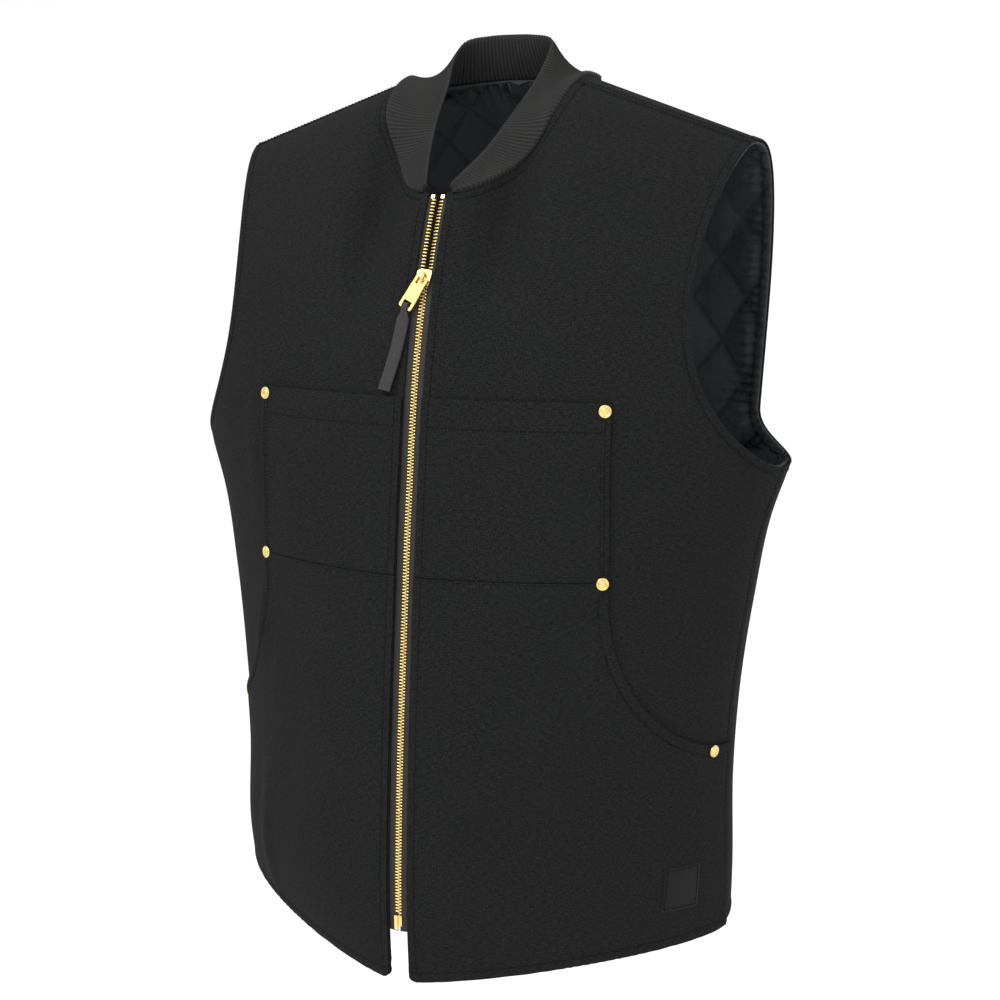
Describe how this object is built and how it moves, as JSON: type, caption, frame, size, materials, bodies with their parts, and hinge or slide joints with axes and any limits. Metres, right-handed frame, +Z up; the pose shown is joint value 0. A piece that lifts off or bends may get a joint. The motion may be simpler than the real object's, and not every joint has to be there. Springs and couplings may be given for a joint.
{
  "type": "insulated work vest",
  "caption": "Sleeveless zip-front work vest with a rib-knit collar, quilted lining and large riveted patch pockets, worn on the upper body for warmth.",
  "frame": {"origin": "midway between the two points where the shoulder lines meet the collar, at their height", "axes": "+Z up, +X to the wearer's left, the front faces -Y"},
  "size_m": [0.51, 0.3154, 0.7443],
  "materials": {
    "canvas": "matt black heavy canvas",
    "lining": "black satin quilting",
    "knit": "charcoal rib knit",
    "tape": "black woven tape",
    "strap": "black woven strap",
    "label": "plain black woven patch",
    "brass": "polished brass"
  },
  "bodies": {
    "vest": {"front_left": "canvas", "front_right": "canvas", "back": "canvas", "lining_front_left": "lining", "lining_front_right": "lining", "lining_back": "lining", "collar": "knit", "pocket_left": "canvas", "pocket_right": "canvas", "zip_tape_left": "tape", "zip_tape_right": "tape", "zip_teeth_left": "brass", "zip_teeth_right": "brass", "zip_stop_left": "brass", "zip_stop_right": "brass", "zip_pin": "brass", "zip_box": "brass", "zip_slider": "brass", "rivet_left_top": "brass", "rivet_left_middle": "brass", "rivet_left_low": "brass", "rivet_right_top": "brass", "rivet_right_middle": "brass", "rivet_right_low": "brass", "label_patch": "label"},
    "pull": {"pull_tab": "brass", "pull_strap": "strap"}
  },
  "joints": [
    {"name": "pull_swing", "type": "hinge", "parent": "vest", "child": "pull", "pos_m": [0, -0.11839, -0.15632], "axis": [-0.891, 0.1292, 0.4352], "range_deg": [0, 150]}
  ]
}
